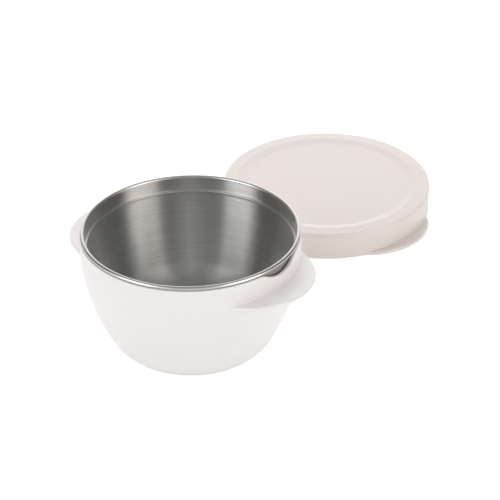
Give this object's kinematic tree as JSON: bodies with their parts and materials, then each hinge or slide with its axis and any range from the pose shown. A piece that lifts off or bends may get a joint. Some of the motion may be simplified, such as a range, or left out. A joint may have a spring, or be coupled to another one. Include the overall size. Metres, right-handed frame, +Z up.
{
  "type": "lidded bowl with lift-out liner",
  "caption": "Deep round bowl with a lift-out steel liner, a moulded shell with ear grips and finger notches, and a press-on lid lying beside it.",
  "frame": {"origin": "middle of the bowl's foot, on the surface that it stands on", "axes": "+Z up along the bowl's axis; the bowl's two ears point along +X and -X; the lid lies beside the bowl towards +Y"},
  "size_m": [0.1478, 0.2761, 0.0671],
  "materials": {
    "shell_plastic": "satin moulded polypropylene, off-white",
    "liner_steel": "stainless steel, brushed round the inside, with a polished rolled bead",
    "grip_rubber": "matt white elastomer",
    "lid_plastic": "satin moulded plastic, warm off-white",
    "seal_rubber": "matt translucent white silicone"
  },
  "bodies": {
    "bowl": {"outer_shell": "shell_plastic", "foot_ring": "grip_rubber"},
    "liner": {"steel_liner": "liner_steel"},
    "lid": {"lid_cover": "lid_plastic", "lid_seal": "seal_rubber"}
  },
  "joints": [
    {"name": "liner_lift", "type": "slide", "parent": "bowl", "child": "liner", "axis": [0, 0, 1], "range_m": [0, 0.08]},
    {"name": "lid_lift", "type": "slide", "parent": "bowl", "child": "lid", "axis": [0, 0, 1], "range_m": [0, 0.09]}
  ]
}
